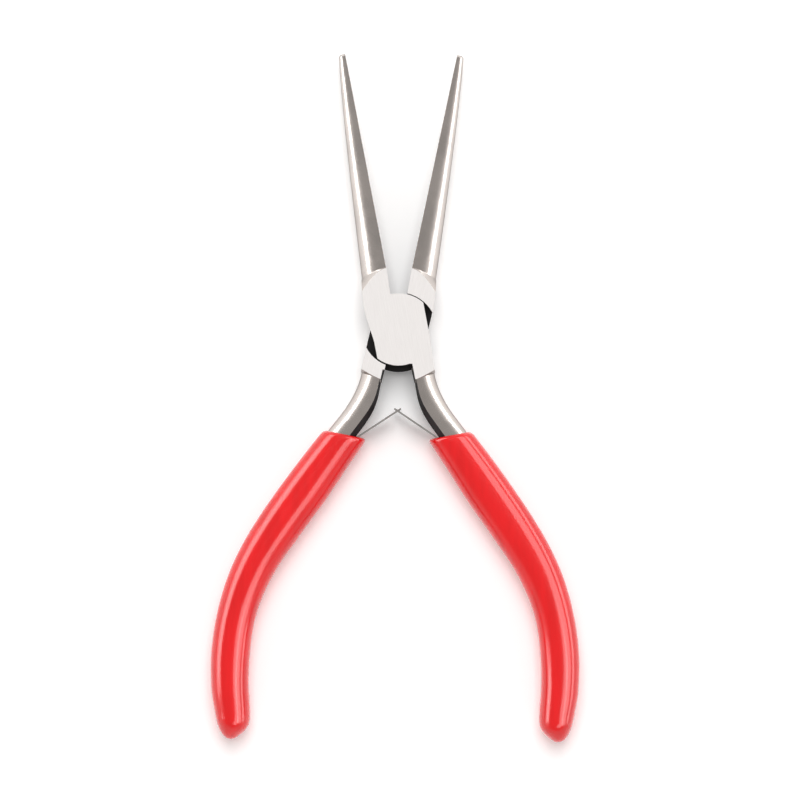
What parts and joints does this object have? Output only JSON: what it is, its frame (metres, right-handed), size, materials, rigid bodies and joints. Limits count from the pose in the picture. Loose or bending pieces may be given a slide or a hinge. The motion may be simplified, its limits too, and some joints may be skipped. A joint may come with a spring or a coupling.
{
  "type": "round nose pliers",
  "caption": "Long-nosed jewellery pliers with slender smooth half-round jaws, a lap joint, crossed leaf springs that hold them open, and dipped red sleeve grips.",
  "frame": {"origin": "on the pivot axis, in the plane the tool rests on", "axes": "+Z along the pivot axis, up from the rest plane; +Y along the tool towards the jaw tips; +X to the right as seen from above"},
  "size_m": [0.08, 0.1482, 0.0094],
  "materials": {
    "lever_steel": "forged steel, polished jaws and shanks, belt-brushed joint faces, blackened lap faces",
    "rivet_steel": "ground flush",
    "spring_steel": "bright spring strip",
    "grip_vinyl": "glossy dipped vinyl"
  },
  "bodies": {
    "front": {"front_lever": "lever_steel", "pivot_rivet": "rivet_steel", "right_grip": "grip_vinyl", "right_spring_foot": "spring_steel", "right_spring_rivet": "rivet_steel"},
    "rear": {"rear_lever": "lever_steel", "left_grip": "grip_vinyl", "left_spring_foot": "spring_steel", "left_spring_rivet": "rivet_steel"},
    "right_blade": {"right_spring_blade": "spring_steel"},
    "left_blade": {"left_spring_blade": "spring_steel"}
  },
  "joints": [
    {"name": "jaw_pivot", "type": "hinge", "parent": "front", "child": "rear", "pos_m": [0, 0, 0], "axis": [0, 0, 1], "range_deg": [0, 22.8], "stiffness_Nm_per_rad": 0.8},
    {"name": "right_spring_flex", "type": "hinge", "parent": "front", "child": "right_blade", "pos_m": [0.00888, -0.02306, 0.0047], "axis": [0, 0, 1], "range_deg": [-19.84, 0]},
    {"name": "left_spring_flex", "type": "hinge", "parent": "rear", "child": "left_blade", "pos_m": [-0.00888, -0.02306, 0.0047], "axis": [0, 0, 1], "range_deg": [0, 19.84]}
  ],
  "couplings": [
    {"joint": "right_spring_flex", "follows": "jaw_pivot", "ratio": -0.87},
    {"joint": "left_spring_flex", "follows": "jaw_pivot", "ratio": 0.87}
  ]
}
